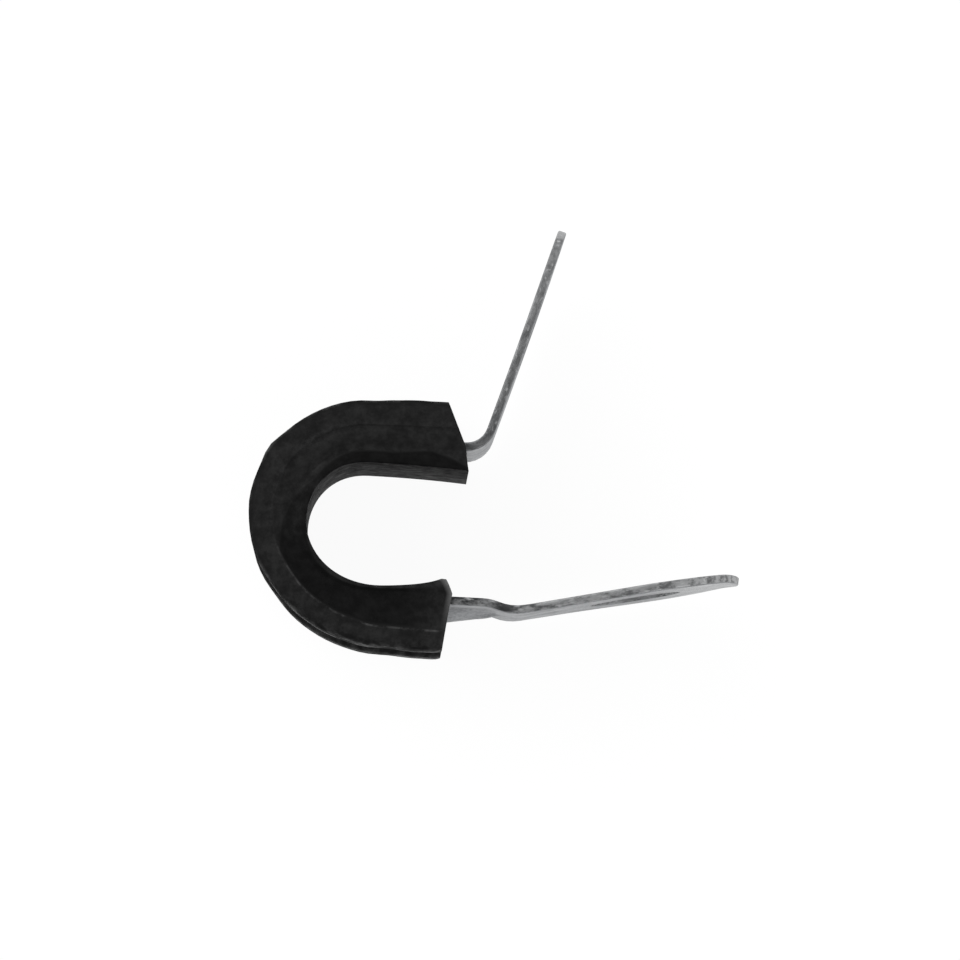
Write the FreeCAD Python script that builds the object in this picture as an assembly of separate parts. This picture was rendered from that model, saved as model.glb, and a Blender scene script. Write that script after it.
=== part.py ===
# Rubber-lined cable clamp, opened, lying on its side.
# The cable axis is Z and the origin lies on it, halfway across the band.
# X points out of the mouth, Y points from the lower arm to the upper arm.
import FreeCAD, Part
import math
import os

V = FreeCAD.Vector

# Driving dimensions in millimetres and degrees.

# Cable space
seat_radius = 4.0
seat_sweep = 120.0
lower_face_depth = 4.74

# Steel band
band_width = 15.0
band_thickness = 0.6
hole_diameter = 6.4
root_bend_radius = 1.8
upper_leg_angle = 73.4
upper_leg_flat = 15.5
upper_root = 0.05
joggle_bend_radius = 3.3
joggle_angle = 18.3
joggle_flat = 0.1
lower_leg_angle = 12.0
lower_leg_flat = 15.7
lower_root = 2.5

# Stiffening bead pressed into the root of the lower leg
bead_radius = 2.1
bead_height = 1.1
bead_end_height = 0.6
bead_length = 3.0
bead_reach = 2.3

# Rubber cushion
rubber_past_band = 1.75
cushion_thickness = 4.18
base_upper = 1.1
base_lower = 0.5
flange_inset = 0.15
flange_height = 0.7
waist_depth = 0.5
crease_height = 2.5
shoulder_radius = 0.9
lip_reach = 3.0
channel_wall = 1.0
lip_edge = 0.3
slot_clearance = 0.04

# Cushion arms and their cut ends
upper_arm = 6.8
lower_arm = 4.8
upper_swell_in = 0.5
upper_swell_out = 0.27
lower_swell_in = 0.52
lower_swell_out = 0.27
upper_bore_reach = 0.25
upper_pull_back = 1.4
lower_bulge = 0.3
lower_bevel = 0.6
lower_pull_back = 0.3

# Sizes that follow from the driving ones
band_seat = seat_radius + base_upper + band_thickness / 2
band_lower = lower_face_depth + base_lower + band_thickness / 2
cushion_width = band_width + 2 * rubber_past_band
cushion_half = cushion_width / 2
channel_width = band_width - 2 * lip_reach
lip_height = lower_face_depth + cushion_thickness + lower_swell_out - band_lower
lip_roundness = lip_height - channel_wall + lip_edge
beyond = cushion_width


def heel_radius(seat, lower):
    """Radius that leads from a seat arc to a lower arm at the given depth below the cable axis."""
    share = -math.sin(math.radians(90 + seat_sweep))
    return (lower - seat * share) / (1 - share)


def heel_centre_x(seat, lower):
    """Place along X where the heel ends and the lower arm starts."""
    return (heel_radius(seat, lower) - seat) * -math.cos(math.radians(90 + seat_sweep))


def run(length):
    """A straight step of a path."""
    return ("run", length, 0.0)


def bend(radius, turn):
    """A round step of a path; a positive turn goes to the left."""
    return ("bend", radius, turn)


def follow(section, start, heading, steps):
    """Carry a section face along straight and round steps and return the solid."""
    point = start
    pieces = []
    for kind, size, turn in steps:
        ahead = V(math.cos(math.radians(heading)), math.sin(math.radians(heading)), 0)
        if kind == "run":
            pieces.append(section.extrude(ahead * size))
            section = section.translated(ahead * size)
            point = point + ahead * size
        else:
            side = V(-ahead.y, ahead.x, 0) * math.copysign(size, turn)
            centre = point + side
            pieces.append(section.revolve(centre, V(0, 0, 1), turn))
            section = section.rotated(centre, V(0, 0, 1), turn)
            point = centre + FreeCAD.Rotation(V(0, 0, 1), turn).multVec(side * -1)
            heading = heading + turn
    return pieces[0].fuse(pieces[1:]).removeSplitter() if len(pieces) > 1 else pieces[0]


def loop(seat, lower):
    """The round steps from the top of the seat to the start of the lower arm."""
    return [bend(seat, seat_sweep), bend(heel_radius(seat, lower), 180 - seat_sweep)]


def outline(corners):
    """A closed wire through corners (a, b, radius), each rounded by its own radius."""
    ends = []
    arcs = []
    count = len(corners)
    for index, (a, b, radius) in enumerate(corners):
        here = V(0, a, b)
        back = V(0, corners[index - 1][0], corners[index - 1][1]) - here
        on = V(0, corners[(index + 1) % count][0], corners[(index + 1) % count][1]) - here
        half = back.getAngle(on) / 2
        back.normalize()
        on.normalize()
        reach = radius / math.tan(half)
        ends.append((here + back * reach, here + on * reach))
        middle = (back + on).normalize()
        arcs.append(here + middle * (radius / math.sin(half) - radius))
    edges = []
    for index, (first, last) in enumerate(ends):
        if (last - first).Length > 1e-6:
            edges.append(Part.Arc(first, arcs[index], last).toShape())
        edges.append(Part.LineSegment(last, ends[(index + 1) % count][0]).toShape())
    return Part.Wire(edges)


def strip_section(thickness, width):
    """A flat band's section, centred on the path."""
    half = thickness / 2
    reach = width / 2
    return outline([(-half, -reach, 0), (half, -reach, 0), (half, reach, 0), (-half, reach, 0)])


def band_top():
    """The point on the band's middle surface above the cable axis."""
    return V(0, band_seat, 0)


def lower_band_arm():
    """Length of the band's straight run from its heel to the end of the cushion."""
    cushion_end = heel_centre_x(seat_radius, lower_face_depth) + lower_arm
    return cushion_end - heel_centre_x(band_seat, band_lower)


def upper_steps():
    """The band from above the cable axis to the tip of the upper leg."""
    return [run(upper_arm + upper_root), bend(root_bend_radius, upper_leg_angle), run(upper_leg_flat)]


def lower_steps():
    """The band from above the cable axis, round the loop, to the tip of the lower leg."""
    return loop(band_seat, band_lower) + [
        run(lower_band_arm() + lower_root),
        bend(joggle_bend_radius, -joggle_angle),
        run(joggle_flat),
        bend(joggle_bend_radius, joggle_angle + lower_leg_angle),
        run(lower_leg_flat),
    ]


def path_end(start, heading, steps):
    """The point and heading that a path ends with."""
    for kind, size, turn in steps:
        ahead = V(math.cos(math.radians(heading)), math.sin(math.radians(heading)), 0)
        if kind == "run":
            start = start + ahead * size
        else:
            side = V(-ahead.y, ahead.x, 0) * math.copysign(size, turn)
            start = start + side + FreeCAD.Rotation(V(0, 0, 1), turn).multVec(side * -1)
            heading = heading + turn
    return start, heading


def leg_end_cut(tip, heading):
    """What is taken from a leg: the corners outside its round end, and its hole."""
    reach = band_width / 2
    block = Part.makeBox(reach * 2, band_width, band_width * 2, V(-reach, -reach, -band_width))
    disc = Part.makeCylinder(reach, band_width * 2, V(-reach, 0, -band_width), V(0, 0, 1))
    keep = Part.makeBox(reach, band_width * 2, band_width * 4, V(-reach * 2, -band_width, -band_width * 2))
    hole = Part.makeCylinder(hole_diameter / 2, band_width * 2, V(-reach, 0, -band_width), V(0, 0, 1))
    cut = block.cut(disc).cut(keep).fuse(hole)
    cut.rotate(V(0, 0, 0), V(1, 0, 0), 90)
    cut.rotate(V(0, 0, 0), V(0, 0, 1), heading)
    cut.translate(tip)
    return cut


def capsule(radius, first, last):
    """A round bar with ball ends between two points."""
    bar = Part.makeCylinder(radius, (last - first).Length, first, last - first)
    return bar.fuse([Part.makeSphere(radius, first), Part.makeSphere(radius, last)])


def press_bead(band):
    """Press the stiffening bead through the root of the lower leg, bulging away from the cable."""
    end = heel_centre_x(seat_radius, lower_face_depth) + lower_arm + bead_reach
    flush = bead_radius - band_lower - band_thickness / 2
    last = V(end, flush - bead_end_height, 0)
    first = V(end - bead_length, flush - bead_height, 0)
    below = Part.makeBox(beyond * 2, beyond, beyond, V(-beyond, -band_lower - beyond, -beyond / 2))
    skin = capsule(bead_radius, first, last).common(below)
    hollow = capsule(bead_radius - band_thickness, first, last)
    return band.fuse(skin).cut(hollow)


def build_band():
    """The steel band: the loop, the two legs with round drilled ends, the joggle and the bead."""
    section = Part.Face(strip_section(band_thickness, band_width)).translated(band_top())
    band = follow(section, band_top(), 0, upper_steps())
    band = band.fuse(follow(section, band_top(), 180, lower_steps()))
    band = band.cut(leg_end_cut(*path_end(band_top(), 0, upper_steps())))
    band = band.cut(leg_end_cut(*path_end(band_top(), 180, lower_steps())))
    return press_bead(band).removeSplitter()


def cushion_section(swell_in, swell_out):
    """The cushion's outer section: bore face, flange, waist, crease, shoulder and lip tops."""
    low = -swell_in
    high = cushion_thickness + swell_out
    flange = cushion_half - flange_inset
    waist = cushion_half - waist_depth
    side = [
        (low, flange, 0),
        (low + flange_height, waist, 0),
        (crease_height, cushion_half, 0),
        (high, cushion_half, shoulder_radius),
    ]
    other = [(a, -b, radius) for a, b, radius in reversed(side)]
    return outline(side + other)


def cushion_arm(swell_in, swell_out, length):
    """A straight arm along X that swells towards its end, with its bore face starting on the X axis."""
    plain = cushion_section(0, 0)
    swollen = cushion_section(swell_in, swell_out).translated(V(length, 0, 0))
    return Part.makeLoft([plain, swollen], True, True)


def end_cutter(corners):
    """Everything past a cut end whose edge, seen along the cable, runs through the corners."""
    edge = [V(x, y, -beyond) for x, y in corners]
    far = [V(beyond, edge[-1].y, -beyond), V(beyond, edge[0].y, -beyond)]
    face = Part.Face(Part.makePolygon(edge + far + [edge[0]]))
    return face.extrude(V(0, 0, beyond * 2))


def upper_end():
    """The upper arm's cut: it reaches out at the bore and is pulled back from the band to the outside."""
    bore = seat_radius - upper_swell_in
    outside = seat_radius + cushion_thickness + upper_swell_out
    return end_cutter([
        (upper_arm + upper_bore_reach, 0),
        (upper_arm + upper_bore_reach, bore),
        (upper_arm, band_seat),
        (upper_arm - upper_pull_back, outside),
        (upper_arm - upper_pull_back, outside + beyond),
    ])


def lower_end():
    """The lower arm's cut: bulged at the band, bevelled to the bore and pulled back at the outside."""
    end = heel_centre_x(seat_radius, lower_face_depth) + lower_arm
    bore = -lower_face_depth + lower_swell_in
    outside = -lower_face_depth - cushion_thickness - lower_swell_out
    return end_cutter([
        (end - lower_pull_back, outside - beyond),
        (end - lower_pull_back, outside),
        (end, (outside - band_lower) / 2),
        (end + lower_bulge, -band_lower),
        (end + lower_bulge - lower_bevel, bore),
        (end + lower_bulge - lower_bevel, 0),
    ])


def channel_section():
    """The open channel between the two lips, from the band's middle out past the lips."""
    half = channel_width / 2
    top = cushion_thickness + 1
    wall = Part.LineSegment(V(0, 0, half), V(0, channel_wall, half)).toShape()
    across = lip_roundness / math.sqrt(2)
    rise = V(0, channel_wall + across, half + lip_roundness - across)
    end = V(0, channel_wall + lip_roundness, half + lip_roundness)
    shoulder = Part.Arc(V(0, channel_wall, half), rise, end).toShape()
    edges = [wall, shoulder, Part.LineSegment(end, V(0, top, end.z)).toShape()]
    mirrored = [edge.mirror(V(0, 0, 0), V(0, 0, 1)) for edge in edges]
    floor = Part.LineSegment(V(0, 0, half), V(0, 0, -half)).toShape()
    roof = Part.LineSegment(V(0, top, end.z), V(0, top, -end.z)).toShape()
    return Part.Wire(Part.__sortEdges__(edges + mirrored + [floor, roof]))


def carve(section):
    """A cutting tool that carries a section along the band inside the cushion and past its ends."""
    face = Part.Face(section).translated(band_top())
    up = follow(face, band_top(), 0, [run(upper_arm + cushion_thickness)])
    arm = lower_band_arm() + cushion_thickness
    down = follow(face, band_top(), 180, loop(band_seat, band_lower) + [run(arm)])
    return up.fuse(down)


def build_cushion():
    """The rubber cushion: base under the band, hooked lips over its edges, swollen cut ends."""
    top = V(0, seat_radius, 0)
    face = Part.Face(cushion_section(0, 0)).translated(top)
    cushion = follow(face, top, 180, loop(seat_radius, lower_face_depth))
    upper = cushion_arm(upper_swell_in, upper_swell_out, upper_arm + upper_bore_reach)
    lower = cushion_arm(lower_swell_in, lower_swell_out, lower_arm + lower_bulge)
    heel_end = V(heel_centre_x(seat_radius, lower_face_depth), -lower_face_depth, 0)
    cushion = cushion.fuse([
        upper.translated(top),
        lower.rotated(V(0, 0, 0), V(1, 0, 0), 180).translated(heel_end),
    ])
    slot = strip_section(band_thickness + 2 * slot_clearance, band_width + 2 * slot_clearance)
    cushion = cushion.cut(carve(slot)).cut(carve(channel_section()))
    return cushion.cut(upper_end()).cut(lower_end()).removeSplitter()


def export(name, shape):
    """Write one sub-part, checking that it is one sound solid."""
    if len(shape.Solids) != 1 or not shape.isValid():
        raise RuntimeError(name + " is not one sound solid")
    shape.Solids[0].exportStep("parts/" + name + ".step")


os.makedirs("parts", exist_ok=True)
export("steel_band", build_band())
export("rubber_cushion", build_cushion())
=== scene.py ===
import logging
import math
from dataclasses import dataclass
from enum import IntEnum
from typing import Any, Callable, Iterable

import bpy
from mathutils import Matrix, Vector, noise


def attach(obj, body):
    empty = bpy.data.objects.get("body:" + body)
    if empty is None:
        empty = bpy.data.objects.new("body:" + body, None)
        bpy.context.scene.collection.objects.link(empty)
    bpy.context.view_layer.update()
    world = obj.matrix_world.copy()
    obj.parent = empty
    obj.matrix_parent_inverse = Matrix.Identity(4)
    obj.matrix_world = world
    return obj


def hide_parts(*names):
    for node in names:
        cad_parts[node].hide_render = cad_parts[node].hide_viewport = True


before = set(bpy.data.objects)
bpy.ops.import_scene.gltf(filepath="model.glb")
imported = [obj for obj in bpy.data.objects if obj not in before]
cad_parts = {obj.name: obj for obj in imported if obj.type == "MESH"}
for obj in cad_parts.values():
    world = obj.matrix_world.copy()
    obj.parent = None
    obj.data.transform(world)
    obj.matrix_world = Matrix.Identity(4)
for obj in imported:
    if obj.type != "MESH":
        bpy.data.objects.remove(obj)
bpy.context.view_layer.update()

LOG = logging.getLogger("cable_clamp")
UP = Vector((0.0, 0.0, 1.0))
# Lengths are in millimetres unless a docstring says otherwise, and MM turns them to metres.
MM = 0.001
TOUCH = 0.001  # Places closer than this are the same.
MERGE = 0.004  # Doubles closer than this are merged.
# Attributes that the pieces carry for their finishes: where each vertex was drawn, and the waist
# with its painted shade.
DRAWN = "drawn"
WAIST = "waist"
Table = tuple[tuple[float, float], ...]


# Colour and node helpers


def linear(code: str) -> tuple[float, float, float, float]:
    """Turn an sRGB hex colour into the linear colour that a shader takes.

    Args:
        code: Six hex digits after a hash sign.

    Returns:
        Red, green, blue and an alpha of one.
    """
    parts = [int(code[i:i + 2], 16) / 255 for i in (1, 3, 5)]
    red, green, blue = (c / 12.92 if c <= 0.04045 else ((c + 0.055) / 1.055) ** 2.4 for c in parts)
    return red, green, blue, 1.0


def add_node(tree: bpy.types.NodeTree, kind: str, inputs: dict[Any, Any] | None = None,
             **settings: Any) -> bpy.types.Node:
    """Add one node, with its settings, and fill its inputs.

    Args:
        tree: The node tree that gets the node.
        kind: Blender's name for the kind of node.
        inputs: A socket to link, or a value to set, for each input by name or number.
        settings: The node's own properties.

    Returns:
        The new node.
    """
    node = tree.nodes.new(kind)
    for name, value in settings.items():
        setattr(node, name, value)
    for name, value in (inputs or {}).items():
        if isinstance(value, bpy.types.NodeSocket):
            tree.links.new(value, node.inputs[name])
        else:
            node.inputs[name].default_value = value
    return node


def new_material(name: str) -> tuple[bpy.types.Material, bpy.types.NodeTree, bpy.types.Node]:
    """Make a material that has only its shader.

    Args:
        name: The material's name.

    Returns:
        The material, its node tree and its shader node.
    """
    made = bpy.data.materials.new(name)
    made.use_nodes = True
    return made, made.node_tree, made.node_tree.nodes["Principled BSDF"]


def per_metre(size_mm: float) -> float:
    """The texture scale whose pattern repeats at about a size in millimetres."""
    return 1.0 / (size_mm * MM)


# The line that the strap and the cushion follow, seen along the cable


@dataclass(frozen=True)
class Leg:
    """One straight or round stretch of a line."""

    start: Vector
    heading: float
    length: float
    turn: float
    begun: float

    @property
    def ahead(self) -> Vector:
        """The direction in which the stretch starts."""
        return Vector((math.cos(math.radians(self.heading)), math.sin(math.radians(self.heading))))

    @property
    def right(self) -> Vector:
        """The direction to the right of the start, which is away from the cable."""
        return Vector((self.ahead.y, -self.ahead.x))

    @property
    def radius(self) -> float:
        """The radius of a round stretch."""
        return self.length / math.radians(abs(self.turn))

    @property
    def centre(self) -> Vector:
        """The centre of a round stretch."""
        return self.start - self.right * math.copysign(self.radius, self.turn)

    def place(self, along: float, aside: float) -> Vector:
        """Find a point by its place on the stretch.

        Args:
            along: The distance along the stretch.
            aside: The distance to its right.

        Returns:
            The point.
        """
        if not self.turn:
            return self.start + self.ahead * along + self.right * aside
        angle = math.radians(self.turn) * along / self.length
        spoke = self.start + self.right * aside - self.centre
        return self.centre + Matrix.Rotation(angle, 2) @ spoke

    def locate(self, point: Vector) -> tuple[float, float]:
        """Find a point's place on the stretch.

        Args:
            point: A point seen along the cable.

        Returns:
            The distance along the stretch and the distance to its right.
        """
        if not self.turn:
            return (point - self.start).dot(self.ahead), (point - self.start).dot(self.right)
        side = math.copysign(1.0, self.turn)
        spoke, first = point - self.centre, self.start - self.centre
        angle = math.atan2(first.x * spoke.y - first.y * spoke.x, first.dot(spoke)) * side
        middle = math.radians(abs(self.turn)) / 2
        angle = (angle - middle + math.pi) % math.tau - math.pi + middle
        return angle * self.radius, (spoke.length - self.radius) * side


class Line:
    """A line of straight and round stretches, joined end to end."""

    # How much it counts against a stretch that a point is past its ends, or off to its side.
    PAST_WEIGHT = 10
    ASIDE_WEIGHT = 0.01

    def __init__(self, start: tuple[float, float], heading: float,
                 steps: Iterable[tuple[float, float]]) -> None:
        """Lay the stretches out.

        Args:
            start: The first point.
            heading: The first direction, in degrees.
            steps: A length and a turn in degrees for each stretch; a left turn is positive.
        """
        self.legs: list[Leg] = []
        point, begun = Vector(start), 0.0
        for length, turn in steps:
            leg = Leg(point, heading, length, turn, begun)
            self.legs.append(leg)
            point, heading, begun = leg.place(length, 0.0), heading + turn, begun + length
        self.length = begun

    def place(self, along: float, aside: float) -> Vector:
        """Find a point by its place on the line.

        Args:
            along: The distance along the line.
            aside: The distance to its right.

        Returns:
            The point.
        """
        leg = next((leg for leg in self.legs if along <= leg.begun + leg.length), self.legs[-1])
        return leg.place(along - leg.begun, aside)

    def locate(self, point: Vector) -> tuple[float, float]:
        """Find a point's place on the line, which is on the stretch that it is beside.

        Args:
            point: A point seen along the cable.

        Returns:
            The distance along the line and the distance to its right.
        """
        best = (math.inf, 0.0, 0.0)
        for leg in self.legs:
            along, aside = leg.locate(point)
            over = max(0.0 if leg is self.legs[0] else -along,
                       0.0 if leg is self.legs[-1] else along - leg.length, 0.0)
            against = over * self.PAST_WEIGHT + abs(aside) * self.ASIDE_WEIGHT
            best = min(best, (against, leg.begun + along, aside))
        return best[1], best[2]


def arc(radius: float, turn: float) -> tuple[float, float]:
    """The length and the turn of a round stretch, by its radius."""
    return radius * math.radians(abs(turn)), turn


# Modelling helpers, which work as by hand in edit mode


def deselect() -> None:
    """Leave edit mode and deselect every object."""
    if bpy.context.object and bpy.context.object.mode != "OBJECT":
        bpy.ops.object.mode_set(mode="OBJECT")
    bpy.ops.object.select_all(action="DESELECT")


def take(piece: bpy.types.Object) -> None:
    """Make a piece the only one selected, and the active one.

    Args:
        piece: The piece.
    """
    deselect()
    piece.select_set(True)
    bpy.context.view_layer.objects.active = piece


def pick(piece: bpy.types.Object, wanted: Callable[[Vector], bool]) -> None:
    """Enter edit mode with the vertices selected whose place passes a test.

    Args:
        piece: The piece to edit.
        wanted: The test, on a vertex's place in metres.
    """
    take(piece)
    mesh = piece.data
    chosen = [wanted(v.co) for v in mesh.vertices]
    mesh.vertices.foreach_set("select", chosen)
    for parts in (mesh.edges, mesh.polygons):
        parts.foreach_set("select", [all(chosen[v] for v in part.vertices) for part in parts])
    bpy.ops.object.mode_set(mode="EDIT")
    bpy.ops.mesh.select_mode(type="VERT")


def finish_with(piece: bpy.types.Object, kind: str, **settings: Any) -> None:
    """Add a modifier to a piece and apply it.

    Args:
        piece: The piece.
        kind: Blender's name for the kind of modifier.
        settings: The modifier's own properties.
    """
    take(piece)
    modifier = piece.modifiers.new(kind.title(), kind)
    for name, value in settings.items():
        setattr(modifier, name, value)
    bpy.ops.object.modifier_apply(modifier=modifier.name)


def clean(piece: bpy.types.Object) -> None:
    """Merge a piece's doubles and point its faces outwards.

    Args:
        piece: The piece.
    """
    take(piece)
    bpy.ops.object.mode_set(mode="EDIT")
    bpy.ops.mesh.select_all(action="SELECT")
    bpy.ops.mesh.remove_doubles(threshold=MERGE * MM)
    bpy.ops.mesh.normals_make_consistent(inside=False)
    bpy.ops.object.mode_set(mode="OBJECT")


def sweep(line: Line, spacing: float) -> None:
    """Carry the edges that are selected in edit mode along a line, in steps of about a spacing.

    Args:
        line: The line, whose start is where the selected edges are.
        spacing: The length of a step.
    """
    for leg in line.legs:
        steps = max(1, round(leg.length / spacing))
        if leg.turn:
            centre = leg.centre.to_3d() * MM
            bpy.ops.mesh.spin(steps=steps, angle=-math.radians(leg.turn), center=centre,
                              axis=UP, use_auto_merge=False)
            continue
        move = leg.ahead.to_3d() * leg.length * MM / steps
        for _ in range(steps):
            bpy.ops.mesh.extrude_region_move(TRANSFORM_OT_translate={"value": move})


def trace(name: str, outline: list[tuple[Vector, float]],
          segments: int = 6) -> bpy.types.Object:
    """Draw a closed outline corner by corner, and round its corners.

    Args:
        name: The name of the new piece.
        outline: The place of each corner in metres, and its radius in millimetres.
        segments: The number of edges that round a corner.

    Returns:
        The piece, which has edges alone.
    """
    deselect()
    bpy.ops.mesh.primitive_plane_add(size=MM, location=outline[0][0])
    piece = bpy.context.object
    piece.name = piece.data.name = name
    bpy.ops.object.transform_apply(location=True, rotation=True, scale=True)
    bpy.ops.object.mode_set(mode="EDIT")
    bpy.ops.mesh.select_mode(type="VERT")
    bpy.ops.mesh.select_all(action="SELECT")
    bpy.ops.mesh.merge(type="CENTER")
    for (here, _), (there, _) in zip(outline, outline[1:]):
        bpy.ops.mesh.extrude_region_move(TRANSFORM_OT_translate={"value": there - here})
    places = [outline[0][0], outline[-1][0]]
    pick(piece, lambda p: any((p - place).length < TOUCH * MM for place in places))
    bpy.ops.mesh.edge_face_add()
    for radius in sorted({r for _, r in outline if r}):
        places = [place for place, r in outline if r == radius]
        pick(piece, lambda p: any((p - place).length < TOUCH * MM for place in places))
        bpy.ops.mesh.bevel(offset=radius * MM, segments=segments, affect="VERTICES")
    bpy.ops.object.mode_set(mode="OBJECT")
    return piece


def ease(value: float, low: float, high: float) -> float:
    """Rise smoothly from zero to one.

    Args:
        value: The value that decides.
        low: Where the rise starts.
        high: Where it ends.

    Returns:
        A share from zero to one.
    """
    t = min(max((value - low) / (high - low), 0.0), 1.0)
    return t * t * (3 - 2 * t)


def between(value: float, table: Table) -> float:
    """Read a value off a table, on straight lines between its rows.

    Args:
        value: The value that decides.
        table: Rows with such a value and the one to read, in order.

    Returns:
        The value that was read.
    """
    for (low, first), (high, last) in zip(table, table[1:]):
        if value <= high:
            return first + (last - first) * max(value - low, 0.0) / (high - low)
    return table[-1][1]


def note_places(piece: bpy.types.Object, line: Line) -> None:
    """Store on each vertex its place along a line, to its right and across, for the finishes.

    Args:
        piece: The piece.
        line: The line that it follows.
    """
    notes = piece.data.attributes.new(DRAWN, "FLOAT_VECTOR", "POINT")
    for vertex, note in zip(piece.data.vertices, notes.data):
        along, aside = line.locate(vertex.co.to_2d() / MM)
        note.vector = Vector((along, aside, vertex.co.z / MM)) * MM


# Finishes


@dataclass(frozen=True)
class ZincPlate:
    """Bright zinc plating on mild steel strip: satin, faintly cloudy, with fine rolling marks."""

    # Zinc electroplate over cold-rolled strip. The eye gets a satin grey with soft clouds from
    # the plating bath, a fine grain under them, and a paler shine at low angles. The tip of the
    # lower leg is smoother from handling. The real grain is near 0.05 mm, too fine to show, so
    # it is drawn four times as coarse.
    light: str = "#8c8d8f"
    dark: str = "#6f7072"
    grazing: str = "#eaebec"
    roughness: tuple[float, float] = (0.30, 0.46)
    cloud_mm: float = 2.2
    grain_mm: float = 0.22
    colour_range: tuple[float, float] = (0.78, 1.22)
    rough_range: tuple[float, float] = (0.8, 1.2)
    handled_x_mm: tuple[float, float] = (20.0, 24.0)
    handled: float = 0.65
    bump_strength: float = 0.35
    bump_mm: float = 0.02

    def material(self) -> bpy.types.Material:
        """Make the material.

        Returns:
            The material, with its nodes linked.
        """
        made, tree, shader = new_material("zinc_plate")
        shader.inputs["Metallic"].default_value = 1.0
        shader.inputs["Specular Tint"].default_value = linear(self.grazing)
        place = add_node(tree, "ShaderNodeTexCoord").outputs["Object"]
        cloud = add_node(tree, "ShaderNodeTexNoise", {
            "Vector": place, "Scale": per_metre(self.cloud_mm), "Detail": 5.0, "Roughness": 0.62})
        grain = add_node(tree, "ShaderNodeTexNoise", {
            "Vector": place, "Scale": per_metre(self.grain_mm), "Detail": 3.0, "Roughness": 0.55})
        mottle = add_node(tree, "ShaderNodeMath", {
            0: cloud.outputs["Fac"], 1: grain.outputs["Fac"]}, operation="ADD")
        share = add_node(tree, "ShaderNodeMapRange", {
            "Value": mottle.outputs[0], "From Min": self.colour_range[0],
            "From Max": self.colour_range[1]})
        colour = add_node(tree, "ShaderNodeMix", {
            0: share.outputs[0], 6: linear(self.dark), 7: linear(self.light)}, data_type="RGBA")
        rough = add_node(tree, "ShaderNodeMapRange", {
            "Value": mottle.outputs[0], "From Min": self.rough_range[0],
            "From Max": self.rough_range[1], "To Min": self.roughness[1],
            "To Max": self.roughness[0]})
        across = add_node(tree, "ShaderNodeSeparateXYZ", {0: place})
        handled = add_node(tree, "ShaderNodeMapRange", {
            "Value": across.outputs["X"], "From Min": self.handled_x_mm[0] * MM,
            "From Max": self.handled_x_mm[1] * MM, "To Min": 1.0, "To Max": self.handled})
        rough = add_node(tree, "ShaderNodeMath", {
            0: rough.outputs[0], 1: handled.outputs[0]}, operation="MULTIPLY")
        bump = add_node(tree, "ShaderNodeBump", {
            "Height": grain.outputs["Fac"], "Strength": self.bump_strength,
            "Distance": self.bump_mm * MM})
        tree.links.new(colour.outputs[2], shader.inputs["Base Color"])
        tree.links.new(rough.outputs[0], shader.inputs["Roughness"])
        tree.links.new(bump.outputs[0], shader.inputs["Normal"])
        return made


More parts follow.
